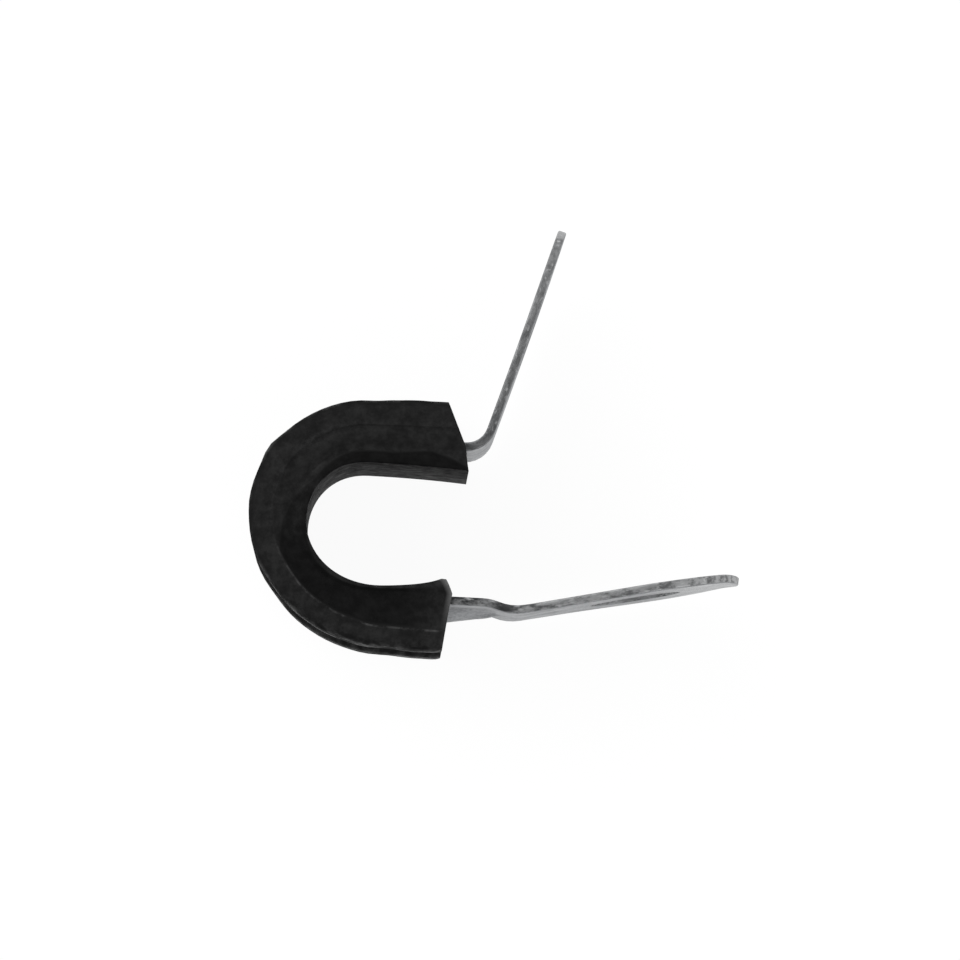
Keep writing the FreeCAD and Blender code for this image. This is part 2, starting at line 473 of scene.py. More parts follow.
@dataclass(frozen=True)
class ShearedEdge:
    """The strip's cut edge under its plating: torn and mottled, darker, with bright flecks."""

    # Mild steel as the shear left it, plated over the tear. The eye gets dark and light streaks
    # along the strip with bright flecks in them, paler along the lower leg, more even along the
    # upper one, pale at its tip, and darker with painted shade in the joggle's crease. The walls
    # of the punched holes are the same, but darker with painted shade inside the holes. Real
    # tear marks are near 0.1 mm and drawn coarser.
    name: str = "sheared_edge"
    light: str = "#a2a3a4"
    dark: str = "#3e3f40"
    fleck: str = "#c0c1c2"
    tear_mm: float = 0.5
    fleck_mm: float = 0.3
    stretch: float = 0.4
    tear_range: tuple[float, float] = (0.4, 0.61)
    fleck_range: tuple[float, float] = (0.56, 0.76)
    worn_x_mm: tuple[float, float] = (8.5, 14.0)
    worn: tuple[float, float] = (-0.12, 0.3)
    upper_y_mm: tuple[float, float] = (1.0, 4.0)
    upper: float = 0.65
    even_y_mm: tuple[float, float] = (4.0, 20.0)
    even: tuple[float, float] = (0.25, 0.5)
    tip_y_mm: tuple[float, float] = (20.7, 21.1)
    # The joggle's crease: where its painted shade centres, how far it reaches, and how dark it is.
    crease: tuple[float, float, float] = (10.2, -6.0, 7.5)
    crease_mm: tuple[float, float] = (0.3, 1.2)
    crease_shade_level: float = 0.08
    rough_range: tuple[float, float] = (0.3, 0.7)
    roughness: tuple[float, float] = (0.42, 0.62)
    bump_strength: float = 0.6
    bump_mm: float = 0.05

    def material(self) -> bpy.types.Material:
        """Make the material.

        Returns:
            The material, with its nodes linked.
        """
        made, tree, shader = new_material(self.name)
        shader.inputs["Metallic"].default_value = 1.0
        place = add_node(tree, "ShaderNodeTexCoord").outputs["Object"]
        drawn = add_node(tree, "ShaderNodeAttribute", attribute_name=DRAWN).outputs["Vector"]
        drawn = add_node(tree, "ShaderNodeMapping", {
            "Vector": drawn, "Scale": (self.stretch, 1.0, 1.0)}).outputs[0]
        tear = add_node(tree, "ShaderNodeTexNoise", {
            "Vector": drawn, "Scale": per_metre(self.tear_mm), "Detail": 6.0, "Roughness": 0.7})
        share = self.brightness(tree, place, tear.outputs["Fac"])
        colour = add_node(tree, "ShaderNodeMix", {
            0: share, 6: linear(self.dark), 7: linear(self.light)}, data_type="RGBA")
        spots = add_node(tree, "ShaderNodeTexNoise", {
            "Vector": drawn, "Scale": per_metre(self.fleck_mm), "Detail": 4.0})
        bright = add_node(tree, "ShaderNodeMapRange", {
            "Value": spots.outputs["Fac"], "From Min": self.fleck_range[0],
            "From Max": self.fleck_range[1]})
        flecked = add_node(tree, "ShaderNodeMix", {
            0: bright.outputs[0], 6: colour.outputs[2], 7: linear(self.fleck)}, data_type="RGBA")
        rough = add_node(tree, "ShaderNodeMapRange", {
            "Value": tear.outputs["Fac"], "From Min": self.rough_range[0],
            "From Max": self.rough_range[1], "To Min": self.roughness[1],
            "To Max": self.roughness[0]})
        bump = add_node(tree, "ShaderNodeBump", {
            "Height": tear.outputs["Fac"], "Strength": self.bump_strength,
            "Distance": self.bump_mm * MM})
        tree.links.new(flecked.outputs[2], shader.inputs["Base Color"])
        tree.links.new(rough.outputs[0], shader.inputs["Roughness"])
        tree.links.new(bump.outputs[0], shader.inputs["Normal"])
        return made

    def brightness(self, tree: bpy.types.NodeTree, place: bpy.types.NodeSocket,
                   tear: bpy.types.NodeSocket) -> bpy.types.NodeSocket:
        """Find how bright the torn edge is: by its tear marks, its wear and the painted shade in
        the joggle's crease.

        Args:
            tree: The material's node tree.
            place: The place on the strap.
            tear: Noise for the tear marks.

        Returns:
            A share from zero to one.
        """
        across = add_node(tree, "ShaderNodeSeparateXYZ", {0: place})
        share = add_node(tree, "ShaderNodeMapRange", {
            "Value": tear, "From Min": self.tear_range[0], "From Max": self.tear_range[1]})
        worn = add_node(tree, "ShaderNodeMapRange", {
            "Value": across.outputs["X"], "From Min": self.worn_x_mm[0] * MM,
            "From Max": self.worn_x_mm[1] * MM, "To Min": self.worn[0], "To Max": self.worn[1]})
        share = add_node(tree, "ShaderNodeMath", {
            0: share.outputs[0], 1: worn.outputs[0]}, operation="ADD", use_clamp=True)
        upper = add_node(tree, "ShaderNodeMapRange", {
            "Value": across.outputs["Y"], "From Min": self.upper_y_mm[0] * MM,
            "From Max": self.upper_y_mm[1] * MM, "To Max": self.upper})
        even = add_node(tree, "ShaderNodeMapRange", {
            "Value": across.outputs["Y"], "From Min": self.even_y_mm[0] * MM,
            "From Max": self.even_y_mm[1] * MM, "To Min": self.even[0], "To Max": self.even[1]})
        share = add_node(tree, "ShaderNodeMix", {
            0: upper.outputs[0], 2: share.outputs[0], 3: even.outputs[0]})
        tip = add_node(tree, "ShaderNodeMapRange", {
            "Value": across.outputs["Y"], "From Min": self.tip_y_mm[0] * MM,
            "From Max": self.tip_y_mm[1] * MM})
        share = add_node(tree, "ShaderNodeMath", {
            0: share.outputs[0], 1: tip.outputs[0]}, operation="ADD", use_clamp=True)
        away = add_node(tree, "ShaderNodeVectorMath", {
            0: place, 1: Vector(self.crease) * MM}, operation="DISTANCE")
        # Painted shade in the joggle's crease: the edge is darkened near the crease's point.
        crease_shade = add_node(tree, "ShaderNodeMapRange", {
            "Value": away.outputs["Value"], "From Min": self.crease_mm[0] * MM,
            "From Max": self.crease_mm[1] * MM, "To Min": self.crease_shade_level})
        return add_node(tree, "ShaderNodeMath", {
            0: share.outputs[0], 1: crease_shade.outputs[0]}, operation="MULTIPLY").outputs[0]


@dataclass(frozen=True)
class ExtrudedRubber:
    """Black EPDM rubber from an extrusion die: near black, low satin, with fine drawn lines."""

    # EPDM rubber, extruded and cured. The eye gets a near black that is dull with faint satin
    # patches, fine lines along the die's run, a darker waist that is painted shade in the groove,
    # broken grey patches of painted highlight on the heel's ridge and on the outside shoulder and
    # wall of the lower arm, and a paler cut end. Real die lines and grit are near 0.05 mm and are
    # drawn coarser, to show at all.
    name: str = "extruded_rubber"
    light: str = "#212121"
    dark: str = "#171717"
    # The waist's colour is painted shade in the groove.
    waist_shade_colour: str = "#0f0f0f"
    # The grey is a painted highlight on the ridge, the outside shoulder and the wall.
    highlight_grey: str = "#464646"
    cut: str = "#585858"
    roughness: tuple[float, float] = (0.58, 0.8)
    specular: tuple[float, float] = (0.03, 0.13)
    line_mm: float = 0.3
    line_stretch: float = 0.08
    line_share: float = 0.35
    cloud_mm: float = 0.8
    rub_mm: float = 1.7
    grit_mm: float = 0.12
    colour_range: tuple[float, float] = (0.42, 0.93)
    patch_range: tuple[float, float] = (0.4, 0.62)
    rough_range: tuple[float, float] = (0.35, 0.65)
    bump_strength: float = 0.5
    bump_mm: float = 0.03
    waist_gloss: float = 0.35
    shoulder_mm: tuple[float, float] = (3.45, 4.0)
    wall_mm: tuple[float, float] = (3.95, 4.1)
    wall_gloss: float = 2.2
    break_range: tuple[float, float] = (0.47, 0.62)
    cut_mm: tuple[float, float] = (0.45, 0.1)
    cut_depth_mm: tuple[float, float] = (1.0, 2.2)
    cut_rest: float = 0.12
    waist_range: tuple[float, float] = (0.3, 0.7)
    waist_uneven_mm: float = 0.1
    waist_soft_mm: float = 0.07
    flange_run_mm: tuple[float, float] = (13.0, 17.0)
    flange_mm: float = 0.55
    flange_soft_mm: tuple[float, float] = (-0.15, 0.02)
    flange_share: float = 0.25
    ridge_mm: float = 2.55
    ridge_half_mm: float = 0.07
    ridge_run_mm: tuple[float, float] = (14.0, 17.0)
    # Where the painted highlight lies along the run and on the outside, and how it is broken up.
    highlight_run_mm: tuple[float, float] = (13.0, 21.0)
    highlight_shoulder: float = 0.6
    highlight_wall_mm: tuple[float, float] = (4.05, 4.15)
    highlight_wall: float = 0.14
    highlight_range: tuple[float, float] = (0.45, 0.75)
    highlight_most: float = 0.9
    length_mm: float = 28.0

    def material(self) -> bpy.types.Material:
        """Make the material.

        Returns:
            The material, with its nodes linked.
        """
        made, tree, shader = new_material(self.name)
        place = add_node(tree, "ShaderNodeTexCoord").outputs["Object"]
        drawn = add_node(tree, "ShaderNodeAttribute", attribute_name=DRAWN).outputs["Vector"]
        stretch = add_node(tree, "ShaderNodeMapping", {
            "Vector": drawn, "Scale": (self.line_stretch, 1.0, 1.0)})
        lines = add_node(tree, "ShaderNodeTexNoise", {
            "Vector": stretch.outputs[0], "Scale": per_metre(self.line_mm), "Detail": 3.0,
            "Roughness": 0.6})
        cloud = add_node(tree, "ShaderNodeTexNoise", {
            "Vector": place, "Scale": per_metre(self.cloud_mm), "Detail": 6.0,
            "Roughness": 0.68}).outputs["Fac"]
        grit = add_node(tree, "ShaderNodeTexNoise", {
            "Vector": place, "Scale": per_metre(self.grit_mm), "Detail": 2.0})
        faint = add_node(tree, "ShaderNodeMath", {
            0: lines.outputs["Fac"], 1: self.line_share}, operation="MULTIPLY")
        mottle = add_node(tree, "ShaderNodeMath", {
            0: faint.outputs[0], 1: cloud}, operation="ADD")
        share = add_node(tree, "ShaderNodeMapRange", {
            "Value": mottle.outputs[0], "From Min": self.colour_range[0],
            "From Max": self.colour_range[1]})
        colour = add_node(tree, "ShaderNodeMix", {
            0: share.outputs[0], 6: linear(self.dark), 7: linear(self.light)}, data_type="RGBA")
        waist_shade = self.find_waist_shade(tree, drawn, cloud)
        for marked, paint in ((waist_shade, self.waist_shade_colour), (self.find_painted_highlight(tree, drawn, cloud), self.highlight_grey),
                              (self.cut_end(tree, drawn), self.cut)):
            colour = add_node(tree, "ShaderNodeMix", {
                0: marked, 6: colour.outputs[2], 7: linear(paint)}, data_type="RGBA")
        rough = add_node(tree, "ShaderNodeMapRange", {
            "Value": cloud, "From Min": self.rough_range[0], "From Max": self.rough_range[1],
            "To Min": self.roughness[1], "To Max": self.roughness[0]})
        height = add_node(tree, "ShaderNodeMath", {
            0: mottle.outputs[0], 1: grit.outputs["Fac"]}, operation="ADD")
        bump = add_node(tree, "ShaderNodeBump", {
            "Height": height.outputs[0], "Strength": self.bump_strength,
            "Distance": self.bump_mm * MM})
        gloss = self.gloss(tree, drawn, place, cloud, waist_shade)
        tree.links.new(colour.outputs[2], shader.inputs["Base Color"])
        tree.links.new(rough.outputs[0], shader.inputs["Roughness"])
        tree.links.new(gloss, shader.inputs["Specular IOR Level"])
        tree.links.new(bump.outputs[0], shader.inputs["Normal"])
        return made

    def gloss(self, tree: bpy.types.NodeTree, drawn: bpy.types.NodeSocket,
              place: bpy.types.NodeSocket, cloud: bpy.types.NodeSocket,
              waist_shade: bpy.types.NodeSocket) -> bpy.types.NodeSocket:
        """Find how much the rubber shines: in patches, less in the waist, broken on the outside.

        Args:
            tree: The material's node tree.
            drawn: The place on the unbent rubber.
            place: The place on the bent rubber.
            cloud: Noise for the satin patches.
            waist_shade: The share of the waist's painted shade.

        Returns:
            The level for the shader's specular socket.
        """
        patch = add_node(tree, "ShaderNodeMapRange", {
            "Value": cloud, "From Min": self.patch_range[0], "From Max": self.patch_range[1],
            "To Min": self.specular[0], "To Max": self.specular[1]})
        dull = add_node(tree, "ShaderNodeMapRange", {
            "Value": waist_shade, "To Min": 1.0, "To Max": self.waist_gloss})
        satin = add_node(tree, "ShaderNodeMath", {
            0: patch.outputs[0], 1: dull.outputs[0]}, operation="MULTIPLY")
        depth = add_node(tree, "ShaderNodeSeparateXYZ", {0: drawn}).outputs["Y"]
        rounded = add_node(tree, "ShaderNodeMapRange", {
            "Value": depth, "From Min": self.shoulder_mm[0] * MM,
            "From Max": self.shoulder_mm[1] * MM, "To Min": 1.0, "To Max": 0.0})
        wall = add_node(tree, "ShaderNodeMapRange", {
            "Value": depth, "From Min": self.wall_mm[0] * MM, "From Max": self.wall_mm[1] * MM,
            "To Max": self.wall_gloss})
        breaks = add_node(tree, "ShaderNodeTexNoise", {
            "Vector": place, "Scale": per_metre(self.rub_mm), "Detail": 3.0, "Roughness": 0.6})
        breaks = add_node(tree, "ShaderNodeMapRange", {
            "Value": breaks.outputs["Fac"], "From Min": self.break_range[0],
            "From Max": self.break_range[1]})
        shine = add_node(tree, "ShaderNodeMath", {
            0: wall.outputs[0], 1: breaks.outputs[0], 2: rounded.outputs[0]},
            operation="MULTIPLY_ADD")
        return add_node(tree, "ShaderNodeMath", {
            0: satin.outputs[0], 1: shine.outputs[0]}, operation="MULTIPLY").outputs[0]

    def cut_end(self, tree: bpy.types.NodeTree,
                drawn: bpy.types.NodeSocket) -> bpy.types.NodeSocket:
        """Find the bulged edge of the lower arm's cut end, which is paler than the drawn skin.

        Args:
            tree: The material's node tree.
            drawn: The place on the unbent rubber.

        Returns:
            A share from zero to one.
        """
        parts = add_node(tree, "ShaderNodeSeparateXYZ", {0: drawn})
        end = add_node(tree, "ShaderNodeMapRange", {
            "Value": parts.outputs["X"], "From Min": (self.length_mm - self.cut_mm[0]) * MM,
            "From Max": (self.length_mm - self.cut_mm[1]) * MM})
        inner = add_node(tree, "ShaderNodeMapRange", {
            "Value": parts.outputs["Y"], "From Min": self.cut_depth_mm[0] * MM,
            "From Max": self.cut_depth_mm[1] * MM, "To Min": 1.0, "To Max": self.cut_rest})
        return add_node(tree, "ShaderNodeMath", {
            0: end.outputs[0], 1: inner.outputs[0]}, operation="MULTIPLY").outputs[0]

    def find_waist_shade(self, tree: bpy.types.NodeTree, drawn: bpy.types.NodeSocket,
                 cloud: bpy.types.NodeSocket) -> bpy.types.NodeSocket:
        """Find the waist between the bore's flange and the ridge, which is darkened with painted
        shade.

        Args:
            tree: The material's node tree.
            drawn: The place on the unbent rubber.
            cloud: Noise that makes the waist's edge uneven.

        Returns:
            A share from zero to one.
        """
        parts = add_node(tree, "ShaderNodeSeparateXYZ", {0: drawn})
        waist = add_node(tree, "ShaderNodeAttribute", attribute_name=WAIST).outputs["Vector"]
        waist = add_node(tree, "ShaderNodeSeparateXYZ", {0: waist})
        uneven = add_node(tree, "ShaderNodeMapRange", {
            "Value": cloud, "From Min": self.waist_range[0], "From Max": self.waist_range[1],
            "To Min": -self.waist_uneven_mm * MM, "To Max": self.waist_uneven_mm * MM})
        edge = add_node(tree, "ShaderNodeMath", {
            0: waist.outputs["X"], 1: uneven.outputs[0]}, operation="ADD")
        under = add_node(tree, "ShaderNodeMath", {
            0: edge.outputs[0], 1: parts.outputs["Y"]}, operation="SUBTRACT")
        under = add_node(tree, "ShaderNodeMapRange", {
            "Value": under.outputs[0], "From Min": -self.waist_soft_mm * MM,
            "From Max": self.waist_soft_mm * MM})
        flange = add_node(tree, "ShaderNodeMapRange", {
            "Value": parts.outputs["X"], "From Min": self.flange_run_mm[0] * MM,
            "From Max": self.flange_run_mm[1] * MM, "To Max": self.flange_mm * MM})
        over = add_node(tree, "ShaderNodeMath", {
            0: parts.outputs["Y"], 1: flange.outputs[0]}, operation="SUBTRACT")
        over = add_node(tree, "ShaderNodeMapRange", {
            "Value": over.outputs[0], "From Min": self.flange_soft_mm[0] * MM,
            "From Max": self.flange_soft_mm[1] * MM, "To Min": self.flange_share})
        inside = add_node(tree, "ShaderNodeMath", {
            0: under.outputs[0], 1: over.outputs[0]}, operation="MULTIPLY")
        return add_node(tree, "ShaderNodeMath", {
            0: inside.outputs[0], 1: waist.outputs["Y"]}, operation="MULTIPLY").outputs[0]

    def find_painted_highlight(self, tree: bpy.types.NodeTree, drawn: bpy.types.NodeSocket,
                cloud: bpy.types.NodeSocket) -> bpy.types.NodeSocket:
        """Find the broken grey painted highlight on the heel's ridge and on the lower arm's
        outside.

        Args:
            tree: The material's node tree.
            drawn: The place on the unbent rubber.
            cloud: Noise that breaks the marks up.

        Returns:
            A share from zero to one.
        """
        parts = add_node(tree, "ShaderNodeSeparateXYZ", {0: drawn})
        off = add_node(tree, "ShaderNodeMath", {
            0: parts.outputs["Y"], 1: self.ridge_mm * MM, 2: self.ridge_half_mm * MM},
            operation="COMPARE")
        heel = add_node(tree, "ShaderNodeMapRange", {
            "Value": parts.outputs["X"], "From Min": self.ridge_run_mm[0] * MM,
            "From Max": self.ridge_run_mm[1] * MM})
        ridge = add_node(tree, "ShaderNodeMath", {
            0: off.outputs[0], 1: heel.outputs[0]}, operation="MULTIPLY")
        shoulder = add_node(tree, "ShaderNodeMapRange", {
            "Value": parts.outputs["Y"], "From Min": self.shoulder_mm[0] * MM,
            "From Max": self.shoulder_mm[1] * MM, "To Max": self.highlight_shoulder})
        wall = add_node(tree, "ShaderNodeMapRange", {
            "Value": parts.outputs["Y"], "From Min": self.highlight_wall_mm[0] * MM,
            "From Max": self.highlight_wall_mm[1] * MM})
        outside = add_node(tree, "ShaderNodeMath", {
            0: shoulder.outputs[0], 1: wall.outputs[0]}, operation="MAXIMUM")
        low = add_node(tree, "ShaderNodeMapRange", {
            "Value": parts.outputs["X"], "From Min": self.highlight_run_mm[0] * MM,
            "From Max": self.highlight_run_mm[1] * MM})
        outside = add_node(tree, "ShaderNodeMath", {
            0: outside.outputs[0], 1: low.outputs[0]}, operation="MULTIPLY")
        either = add_node(tree, "ShaderNodeMath", {
            0: ridge.outputs[0], 1: outside.outputs[0]}, operation="MAXIMUM")
        more = add_node(tree, "ShaderNodeMath", {
            0: wall.outputs[0], 1: self.highlight_wall, 2: cloud}, operation="MULTIPLY_ADD")
        broken = add_node(tree, "ShaderNodeMapRange", {
            "Value": more.outputs[0], "From Min": self.highlight_range[0],
            "From Max": self.highlight_range[1], "To Max": self.highlight_most})
        return add_node(tree, "ShaderNodeMath", {
            0: either.outputs[0], 1: broken.outputs[0]}, operation="MULTIPLY").outputs[0]


# The clamp's lines


@dataclass(frozen=True)
class ClampLines:
    """Sizes of the clamp seen along the cable, in millimetres and degrees."""

    # The bore face: the radius and the sweep of its arc, and how far its lower arm is below.
    seat: float = 4.0
    sweep: float = 120.0
    lower_face: float = 4.74
    # The strap's middle in the same two places, and the lengths of the two arms.
    band_seat: float = 5.4
    band_lower: float = 5.54
    upper_arm: float = 6.8
    lower_arm: float = 4.8
    # The upper leg: its bend out of the cushion, its flat, and the run from cushion to bend.
    root_bend: float = 1.8
    upper_angle: float = 73.4
    upper_flat: float = 15.5
    upper_root: float = 0.05
    # The lower leg: the joggle's two bends and the flat between them, the leg's angle and flat,
    # and the run from cushion to joggle.
    joggle_bend: float = 3.3
    joggle_angle: float = 18.3
    joggle_flat: float = 0.1
    lower_angle: float = 12.0
    lower_flat: float = 15.7
    lower_root: float = 2.5

    def heel(self, seat: float, lower: float) -> tuple[float, float]:
        """Work out the wider arc that joins a seat's arc to a lower arm.

        Args:
            seat: The radius of the seat's arc.
            lower: How far below the cable's axis the lower arm runs.

        Returns:
            The arc's radius, and where the lower arm starts in X.
        """
        share = -math.sin(math.radians(90 + self.sweep))
        radius = (lower - seat * share) / (1 - share)
        return radius, (radius - seat) * -math.cos(math.radians(90 + self.sweep))

    @property
    def cushion_end(self) -> float:
        """Where the lower arm of the cushion ends in X, at the lips."""
        return self.heel(self.seat, self.lower_face)[1] + self.lower_arm

    def band(self, trim: float = 0.0) -> Line:
        """Lay out the strap's middle, from the tip of the upper leg to that of the lower leg.

        Args:
            trim: A length to leave out at each end.

        Returns:
            The line.
        """
        radius, arm_start = self.heel(self.band_seat, self.band_lower)
        upwards = Line((0.0, self.band_seat), 0.0, [
            (self.upper_arm + self.upper_root, 0.0), arc(self.root_bend, self.upper_angle),
            (self.upper_flat, 0.0)])
        tip = upwards.place(upwards.length - trim, 0.0)
        lower_run = self.cushion_end - arm_start + self.lower_root
        return Line(tuple(tip), self.upper_angle + 180, [
            (self.upper_flat - trim, 0.0), arc(self.root_bend, -self.upper_angle),
            (self.upper_arm + self.upper_root, 0.0), arc(self.band_seat, self.sweep),
            arc(radius, 180 - self.sweep), (lower_run, 0.0),
            arc(self.joggle_bend, -self.joggle_angle), (self.joggle_flat, 0.0),
            arc(self.joggle_bend, self.joggle_angle + self.lower_angle),
            (self.lower_flat - trim, 0.0)])

    def bore(self, upper_past: float, lower_past: float) -> Line:
        """Lay out the cushion's bore face, from the upper arm's end to the lower arm's.

        Args:
            upper_past: How much longer than its own length to make the upper arm.
            lower_past: The same for the lower arm.

        Returns:
            The line.
        """
        radius, _ = self.heel(self.seat, self.lower_face)
        return Line((self.upper_arm + upper_past, self.seat), 180.0, [
            (self.upper_arm + upper_past, 0.0), arc(self.seat, self.sweep),
            arc(radius, 180 - self.sweep), (self.lower_arm + lower_past, 0.0)])


# The pieces


class StripFace(IntEnum):
    """The kinds of surface on the strap, in the order of its materials."""

    PLATE = 0
    SHEARED = 1
    PUNCHED = 2


@dataclass
class Strap:
    """The zinc-plated steel strap: a loop and two legs with round drilled ends."""

    lines: ClampLines
    finishes: dict[StripFace, ZincPlate | ShearedEdge]
    width: float = 15.0
    thickness: float = 0.6
    hole: float = 6.4
    hole_points: int = 128
    hole_rings: int = 7
    spacing: float = 0.4
    edge_round: float = 0.11
    edge_segments: int = 3
    edge_angle: float = 50.0
    smooth_angle: float = 35.0
    # The bead in the lower root, as a round tool presses it: the tool's radius, the height at
    # the bead's two ends, its length, and how far past the cushion it reaches.
    bead_radius: float = 2.1
    bead_heights: tuple[float, float] = (1.1, 0.6)
    bead_length: float = 3.0
    bead_reach: float = 2.3
    # How the legs are bent by hand: the upper leg's bow, and how far the lower leg drops at its
    # two edges, with the runs past the joggle, or the shares of the leg, over which that grows.
    upper_bow: float = -0.05
    drop_run: tuple[float, float] = (-1.5, 1.0)
    near_drop: float = 0.07
    near_fade: float = 2.5
    near_least: float = -0.5
    far_drop: float = 0.12
    far_rise: tuple[float, float] = (0.2, 0.8)
    tip_droop: float = 0.22
    tip_length: float = 1.2

    def eye_outline(self, share: float) -> Vector:
        """Find a point of the leg end's outline: half a circle, closed by three straight sides.

        Args:
            share: The part of a full turn from the tip, from minus a half to a half.

        Returns:
            The point in millimetres, with the tip along X.
        """
        half, turn = self.width / 2, abs(share) * 4
        if turn <= 1.0:
            return Vector((half * math.cos(turn * math.pi / 2),
                           math.copysign(half * math.sin(turn * math.pi / 2), share), 0.0))
        past = (turn - 1.0) * self.width
        along, across = -min(past, half), half - max(past - half, 0.0)
        return Vector((along, math.copysign(across, share), 0.0))

    def eye(self, name: str, place: Matrix,
            materials: list[bpy.types.Material]) -> bpy.types.Object:
        """Model one flat leg end around its hole.

        Args:
            name: The piece's name.
            place: Where the hole's middle goes, with X to the tip and Y across the strap.
            materials: The strap's materials, in the order of its faces' kinds.

        Returns:
            The piece, a sheet with no thickness yet.
        """
        deselect()
        bpy.ops.mesh.primitive_circle_add(vertices=self.hole_points, radius=self.hole / 2 * MM)
        piece = bpy.context.object
        piece.name = piece.data.name = name
        bpy.ops.object.mode_set(mode="EDIT")
        bpy.ops.mesh.select_all(action="SELECT")
        bpy.ops.object.mode_set(mode="OBJECT")
        for ring in range(1, self.hole_rings + 1):
            bpy.ops.object.mode_set(mode="EDIT")
            bpy.ops.mesh.extrude_region_move(TRANSFORM_OT_translate={"value": (0.0, 0.0, 0.0)})
            bpy.ops.object.mode_set(mode="OBJECT")
            for vertex in (v for v in piece.data.vertices if v.select):
                turn = round(math.atan2(vertex.co.y, vertex.co.x) / math.tau * self.hole_points)
                angle = turn / self.hole_points * math.tau
                inner = Vector((math.cos(angle), math.sin(angle), 0.0)) * self.hole / 2
                outer = self.eye_outline(turn / self.hole_points)
                vertex.co = inner.lerp(outer, ring / self.hole_rings) * MM
        piece.data.transform(place)
        for material in materials:
            piece.data.materials.append(material)
        return piece

    def build(self) -> bpy.types.Object:
        """Model the strap as a sheet along its line, then give it its thickness and edges.

        Returns:
            The strap, with its materials.
        """
        whole, half = self.lines.band(), self.width / 2
        first, last = whole.legs[0], whole.legs[-1]
        middles = [first.place(half, 0.0), last.place(last.length - half, 0.0)]
        materials = [self.finishes[face].material() for face in StripFace]
        piece = self.eye("steel_strap", self.seat_of(middles[0], -first.ahead), materials)
        start = first.place(self.width, 0.0)
        pick(piece, lambda p: (p.to_2d() / MM - start).length < TOUCH)
        bpy.ops.mesh.select_mode(type="EDGE")
        sweep(self.lines.band(trim=self.width), self.spacing)
        bpy.ops.object.mode_set(mode="OBJECT")
        other = self.eye("far_eye", self.seat_of(middles[1], last.ahead), materials)
        take(piece)
        other.select_set(True)
        bpy.ops.object.join()
        clean(piece)
        self.press(piece, whole)
        finish_with(piece, "SOLIDIFY", thickness=self.thickness * MM, offset=0.0,
                    use_even_offset=True, material_offset_rim=StripFace.SHEARED)
        finish_with(piece, "BEVEL", width=self.edge_round * MM, segments=self.edge_segments,
                    limit_method="ANGLE", angle_limit=math.radians(self.edge_angle))
        take(piece)
        bpy.ops.object.shade_smooth_by_angle(angle=math.radians(self.smooth_angle))
        note_places(piece, whole)
        self.mark_punched(piece, [middle.to_3d() for middle in middles])
        return piece

    def mark_punched(self, piece: bpy.types.Object, middles: list[Vector]) -> None:
        """Give the holes' walls their own material, and leave the strip's edges theirs.

        Args:
            piece: The finished strap.
            middles: The middle of each hole, in millimetres.
        """
        reach = self.hole / 2 + self.edge_round / 2
        for face in piece.data.polygons:
            near = min((face.center / MM - middle).length for middle in middles)
            if face.material_index == StripFace.SHEARED and near < reach:
                face.material_index = StripFace.PUNCHED

    @staticmethod
    def seat_of(place: Vector, ahead: Vector) -> Matrix:
        """Work out where a leg end goes, with its tip ahead and its width along Z.

        Args:
            place: The hole's middle, in millimetres.
            ahead: The direction of the tip.

        Returns:
            The matrix, in metres.
        """
        tip = ahead.to_3d()
        turned = Matrix((tip, UP, tip.cross(UP))).transposed().to_4x4()
        return Matrix.Translation(place.to_3d() * MM) @ turned

    def press(self, piece: bpy.types.Object, whole: Line) -> None:
        """Press the stiffening bead into the lower root and bend both legs a little by hand.

        Args:
            piece: The strap, still a sheet.
            whole: The strap's line.
        """
        last = self.lines.cushion_end + self.bead_reach
        first = last - self.bead_length
        heights = tuple(zip((first, last), self.bead_heights))
        lower = whole.length - self.lines.lower_flat
        for vertex in piece.data.vertices:
            spot = vertex.co / MM
            along, aside = whole.locate(spot.to_2d())
            if along < self.lines.upper_flat:
                aside += self.upper_bow * math.sin(math.pi * along / self.lines.upper_flat)
            elif along > lower + self.drop_run[0]:
                aside += self.sag(along - lower, spot.z)
            elif spot.y < 0 and abs(spot.z) < self.bead_radius:
                off = max(first - spot.x, spot.x - last, 0.0)
                reach = self.bead_radius ** 2 - off ** 2 - spot.z ** 2
                core = self.bead_radius - between(spot.x, heights)
                aside += max(math.sqrt(max(reach, 0.0)) - core, 0.0)
            vertex.co = (whole.place(along, aside).to_3d() + UP * spot.z) * MM

    def sag(self, along: float, width: float) -> float:
        """Find how far the lower leg is bent away from the cable, by hand more than by design.

        Args:
            along: How far past the joggle the place is.
            width: How far from the middle of the strap it is, with its sign.

        Returns:
            The distance in millimetres.
        """
        near = 0.5 + width / self.width
        share = min(max(along / self.lines.lower_flat, 0.0), 1.0)
        drop = self.near_drop * near * max(1 - share * self.near_fade, self.near_least)
        drop += self.far_drop * (1 - near) * ease(share, *self.far_rise)
        past = max(along - self.lines.lower_flat + self.tip_length, 0.0) / self.tip_length
        return drop * ease(along, *self.drop_run) + self.tip_droop * past ** 2


